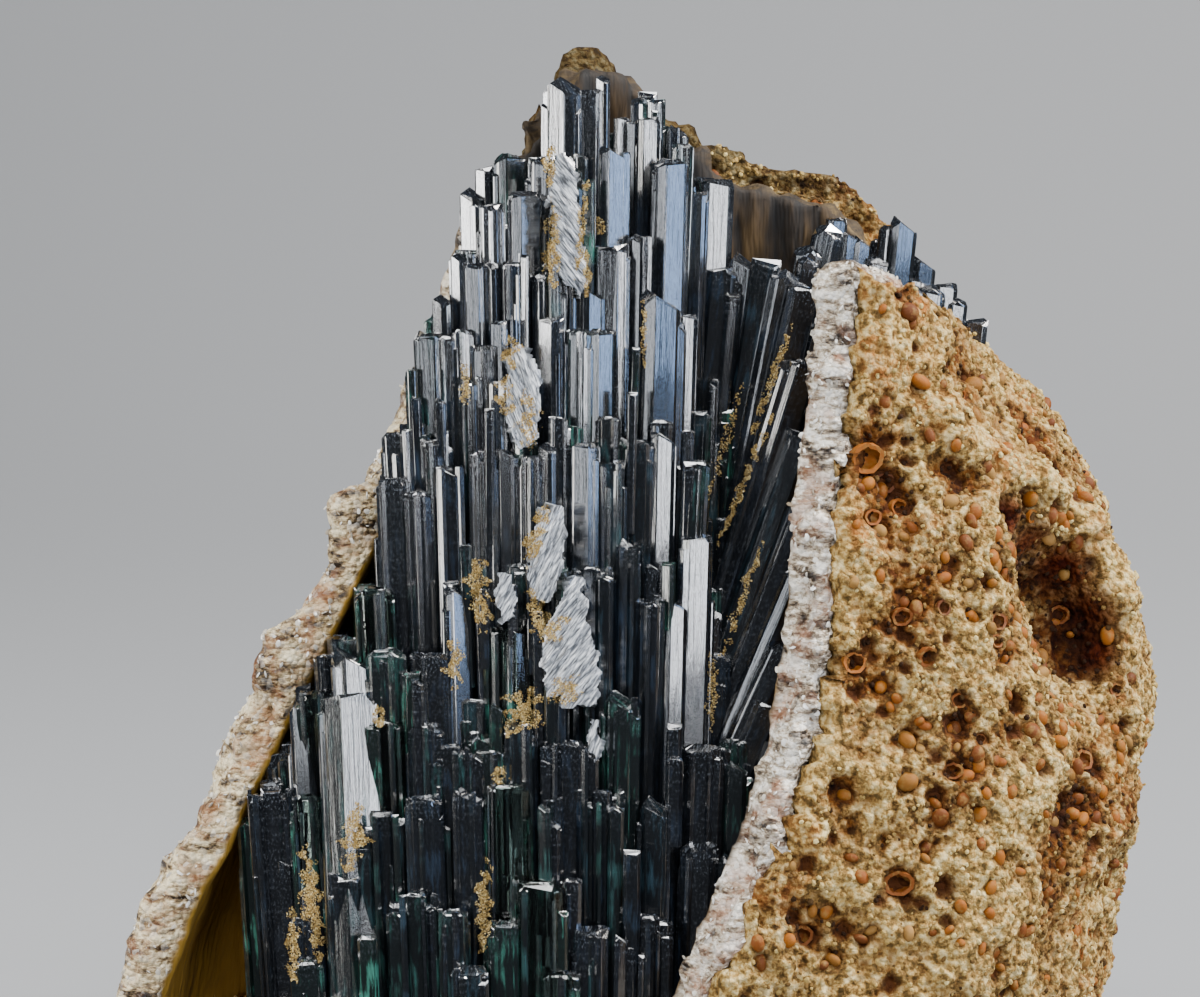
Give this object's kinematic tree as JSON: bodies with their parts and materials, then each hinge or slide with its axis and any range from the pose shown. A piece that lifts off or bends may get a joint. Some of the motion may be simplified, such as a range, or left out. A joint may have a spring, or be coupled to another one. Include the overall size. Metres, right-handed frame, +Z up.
{
  "type": "vivianite crystal specimen",
  "caption": "Stepped mass of dark blue-green vivianite prisms with a leaning spray, grown in a broken fossil shell that is set in a block of sandy oolitic ironstone, cut flat to stand.",
  "frame": {"origin": "centre of the bottom of the bounding box, on the flat cut the specimen stands on", "axes": "+Z up along the crystals, the open side of the shell faces -Y, +X to the right past the thick ironstone"},
  "size_m": [0.0605, 0.0408, 0.0617],
  "materials": {
    "ironstone": "matt sandy oolitic limonite, ochre with rust-brown grains and pits",
    "shell_lining": "pale grey to yellow-grey sparkling crystalline shell, golden brown on its inner face",
    "vivianite": "vitreous, very dark blue-green, see-through at thin edges, striated lengthways"
  },
  "bodies": {
    "root": {"ironstone_matrix": "ironstone", "fossil_shell": "shell_lining", "vivianite_cluster": "vivianite", "vivianite_back_row": "vivianite"}
  },
  "joints": []
}
